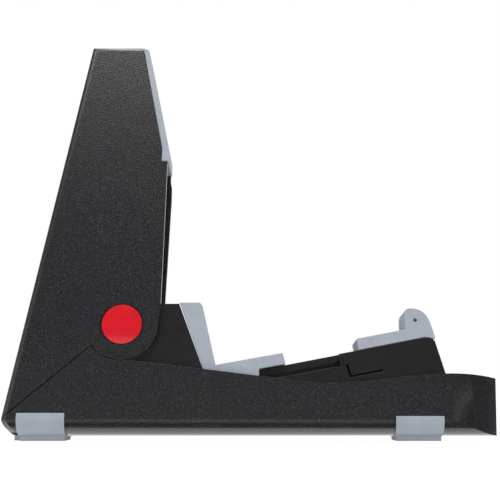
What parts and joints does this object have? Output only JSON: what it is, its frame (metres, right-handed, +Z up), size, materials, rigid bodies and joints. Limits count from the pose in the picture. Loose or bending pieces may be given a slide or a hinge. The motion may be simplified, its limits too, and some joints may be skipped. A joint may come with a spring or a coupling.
{
  "type": "folding guitar stand",
  "caption": "Book-folding A-frame guitar stand: hinged uprights on fold-out trough legs, vee cradles, sliding arms with end stops, soft pads and soles",
  "frame": {"origin": "centre of the bounding box on the ground plane, under the open stand", "axes": "+X towards the front, where the instrument sits, +Y to the left half, +Z up"},
  "size_m": [0.2789, 0.4258, 0.298],
  "materials": {
    "black_shell": "grained black moulding",
    "black_inner": "smooth black moulding",
    "grey_rubber": "soft grey rubber",
    "red_gloss": "glossy red",
    "steel": "plain zinc-plated steel"
  },
  "bodies": {
    "right_upright": {"right_upright_shell": "black_shell", "right_upright_pad": "grey_rubber", "right_pivot_pin": "steel", "right_pivot_cap": "red_gloss", "right_pivot_washer": "black_inner", "upper_spine_pin": "steel", "lower_spine_pin": "steel"},
    "right_leg": {"right_leg_shell": "black_shell", "right_cradle_block": "black_inner", "right_cradle_pad": "grey_rubber", "right_slide_rail": "black_inner", "right_rear_foot": "grey_rubber", "right_front_foot": "grey_rubber", "right_leg_screws": "steel"},
    "right_arm": {"right_slide_arm": "black_inner", "right_arm_pad": "grey_rubber", "right_arm_pin": "steel"},
    "left_upright": {"left_upright_shell": "black_shell", "left_upright_pad": "grey_rubber", "left_pivot_pin": "steel", "left_pivot_cap": "red_gloss", "left_pivot_washer": "black_inner"},
    "left_leg": {"left_leg_shell": "black_shell", "left_cradle_block": "black_inner", "left_cradle_pad": "grey_rubber", "left_slide_rail": "black_inner", "left_rear_foot": "grey_rubber", "left_front_foot": "grey_rubber", "left_leg_screws": "steel"},
    "left_arm": {"left_slide_arm": "black_inner", "left_arm_pad": "grey_rubber", "left_arm_pin": "steel"}
  },
  "joints": [
    {"name": "right_leg_fold", "type": "hinge", "parent": "right_upright", "child": "right_leg", "pos_m": [-0.06479, -0.03485, 0.07874], "axis": [-0.636, -0.758, 0.1449], "range_deg": [0, 78]},
    {"name": "right_arm_slide", "type": "slide", "parent": "right_leg", "child": "right_arm", "axis": [-0.7697, 0.6098, -0.1888], "range_m": [0, 0.044]},
    {"name": "spine_fold", "type": "hinge", "parent": "right_upright", "child": "left_upright", "pos_m": [-0.06645, 0, 0.15503], "axis": [-0.2222, 0, -0.975], "range_deg": [0, 81.43]},
    {"name": "left_leg_fold", "type": "hinge", "parent": "left_upright", "child": "left_leg", "pos_m": [-0.06479, 0.03485, 0.07874], "axis": [0.636, -0.758, -0.1449], "range_deg": [0, 78]},
    {"name": "left_arm_slide", "type": "slide", "parent": "left_leg", "child": "left_arm", "axis": [-0.7697, -0.6098, -0.1888], "range_m": [0, 0.044]}
  ]
}
